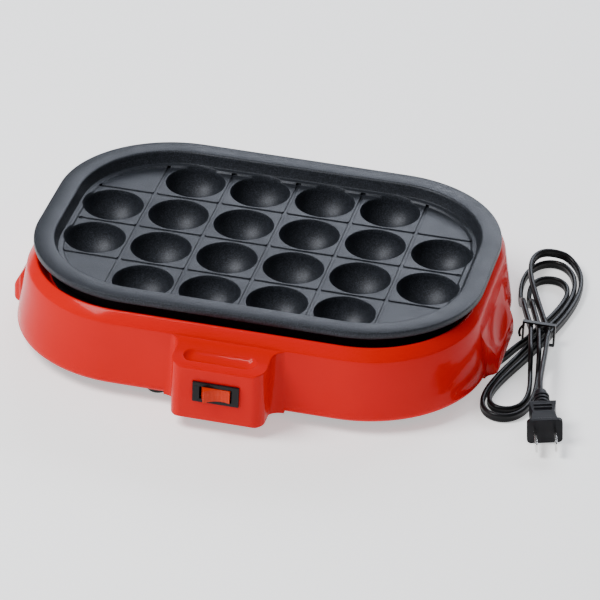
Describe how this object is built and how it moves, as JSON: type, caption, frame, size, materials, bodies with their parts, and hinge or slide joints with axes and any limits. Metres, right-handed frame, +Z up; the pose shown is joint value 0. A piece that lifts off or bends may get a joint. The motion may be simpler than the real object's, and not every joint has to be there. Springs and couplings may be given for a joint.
{
  "type": "takoyaki maker",
  "caption": "Electric takoyaki maker: a red housing with a lift-off cast plate of round cups, a tubular heater beneath it, a rocker switch at the front and a mains cord folded beside it.",
  "frame": {"origin": "on the table under the centre of the body's bounding box, which leaves out the cord, its strain relief and what is on it", "axes": "+X runs along the body towards the end where the cord lies, -Y is the front with the switch, +Z is up"},
  "size_m": [0.3843, 0.3426, 0.0673],
  "materials": {
    "plate_cast": "dark grey non-stick coating on cast aluminium, fine grain",
    "red_plastic": "gloss red heat-resistant plastic",
    "black_plastic": "matt black plastic",
    "switch_plastic": "semi-gloss black plastic",
    "rocker_plastic": "translucent orange plastic",
    "pan_steel": "heat-blackened sheet steel",
    "reflector": "bright aluminium sheet",
    "element_sheath": "dark oxidised steel sheath",
    "ceramic": "unglazed white ceramic",
    "steel": "zinc-plated steel",
    "blade_metal": "nickel-plated brass",
    "brass": "tinned brass",
    "lamp_glass": "clear glass neon lamp",
    "rubber": "matt black rubber",
    "cord_jacket": "semi-gloss black vinyl",
    "wire_black": "black wire insulation",
    "wire_red": "red wire insulation",
    "wire_white": "white heat-resistant sleeving"
  },
  "bodies": {
    "base": {"upper_housing": "red_plastic", "base_cover": "black_plastic", "cord_clamp": "black_plastic", "plug_body": "black_plastic", "switch_body": "switch_plastic", "heater_pan": "pan_steel", "reflector_sheet": "reflector", "heating_element": "element_sheath", "element_bushings": "ceramic", "pan_spacers": "ceramic", "thermostat": "ceramic", "element_saddles": "steel", "pan_screws": "steel", "housing_screws": "steel", "foot_screws": "steel", "clamp_screws": "steel", "terminal_tabs": "steel", "thermal_fuse": "steel", "plug_blades": "blade_metal", "switch_terminals": "brass", "spade_connectors": "brass", "neon_lamp": "lamp_glass", "rubber_feet": "rubber", "cord_bushing": "cord_jacket", "cord_inner": "cord_jacket", "cord_lead": "cord_jacket", "cord_hank": "cord_jacket", "cord_tail": "cord_jacket", "twist_tie": "cord_jacket", "wire_live": "wire_black", "wire_switched": "wire_red", "wire_protected": "wire_white", "wire_element": "wire_white", "wire_neutral": "wire_white"},
    "plate": {"cooking_plate": "plate_cast"},
    "rocker": {"rocker": "rocker_plastic"}
  },
  "joints": [
    {"name": "plate_lift", "type": "slide", "parent": "base", "child": "plate", "axis": [0, 0, 1], "range_m": [0, 0.12]},
    {"name": "rocker_hinge", "type": "hinge", "parent": "base", "child": "rocker", "pos_m": [0.0024, -0.12785, 0.031], "axis": [0, 0, -1], "range_deg": [0, 30]}
  ]
}
